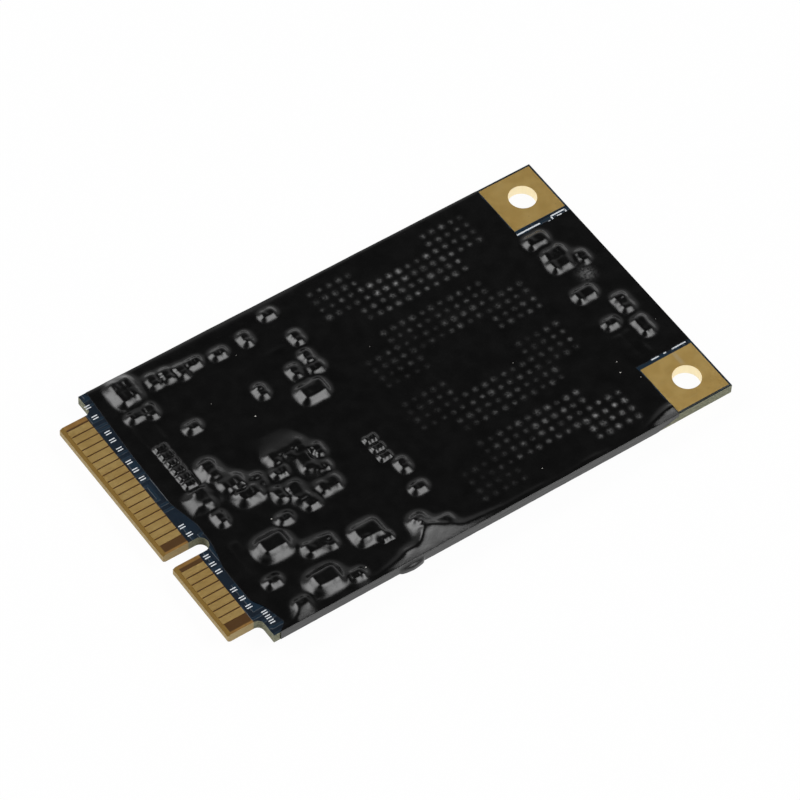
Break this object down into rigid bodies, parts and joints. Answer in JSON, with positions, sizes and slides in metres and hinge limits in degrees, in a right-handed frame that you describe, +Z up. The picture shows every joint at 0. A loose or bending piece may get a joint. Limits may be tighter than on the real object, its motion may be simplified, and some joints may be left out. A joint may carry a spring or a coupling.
{
  "type": "solid state drive",
  "caption": "Bare solid state drive on a mini card: circuit board with edge contacts, plated screw lands, insulating film over its chip parts, and memory packages below.",
  "frame": {"origin": "under the middle of the card, on the plane that the flash packages rest on", "axes": "+X along the card from the plug-in tongue to the screw holes, +Z up, out of the film side"},
  "size_m": [0.0508, 0.03, 0.003],
  "materials": {
    "board": "dark blue solder mask, satin, over amber glass-epoxy laminate",
    "film": "black polymer film, glossy, drawn down over the parts below it",
    "gold_plating": "thin gold plating, satin, faintly tarnished",
    "tinned_ends": "matte tin plating",
    "solder": "solder, satin",
    "moulded_package": "black moulding compound, fine matte grain",
    "capacitor_ceramic": "tan ceramic, matte",
    "ferrite": "dark grey ferrite, matte",
    "resistor_ceramic": "white ceramic with a black glaze on its face",
    "crystal_ceramic": "dark ceramic, matte",
    "crystal_metal": "nickel plated lid, satin"
  },
  "bodies": {
    "root": {"cache_balls": "solder", "cache_package": "moulded_package", "circuit_board": "board", "controller_balls": "solder", "controller_package": "moulded_package", "crystal_base": "crystal_ceramic", "crystal_lid": "crystal_metal", "edge_contacts_lower": "gold_plating", "edge_contacts_upper": "gold_plating", "film_side_filter_beads": "ferrite", "film_side_filter_beads_ends": "tinned_ends", "film_side_large_capacitors": "capacitor_ceramic", "film_side_large_capacitors_ends": "tinned_ends", "film_side_medium_capacitors": "capacitor_ceramic", "film_side_medium_capacitors_ends": "tinned_ends", "film_side_power_inductors": "ferrite", "film_side_power_inductors_ends": "tinned_ends", "film_side_resistors": "resistor_ceramic", "film_side_resistors_ends": "tinned_ends", "film_side_small_capacitors": "capacitor_ceramic", "film_side_small_capacitors_ends": "tinned_ends", "flash_balls_far": "solder", "flash_balls_near": "solder", "flash_lands_far": "solder", "flash_lands_near": "solder", "flash_package_far": "moulded_package", "flash_package_near": "moulded_package", "insulating_film": "film", "mounting_land_far": "gold_plating", "mounting_land_near": "gold_plating", "regulator_body": "moulded_package", "regulator_leads": "tinned_ends", "spare_lands": "solder", "test_land": "solder", "underside_medium_capacitors": "capacitor_ceramic", "underside_medium_capacitors_ends": "tinned_ends", "underside_resistors": "resistor_ceramic", "underside_resistors_ends": "tinned_ends", "underside_small_capacitors": "capacitor_ceramic", "underside_small_capacitors_ends": "tinned_ends"}
  },
  "joints": []
}
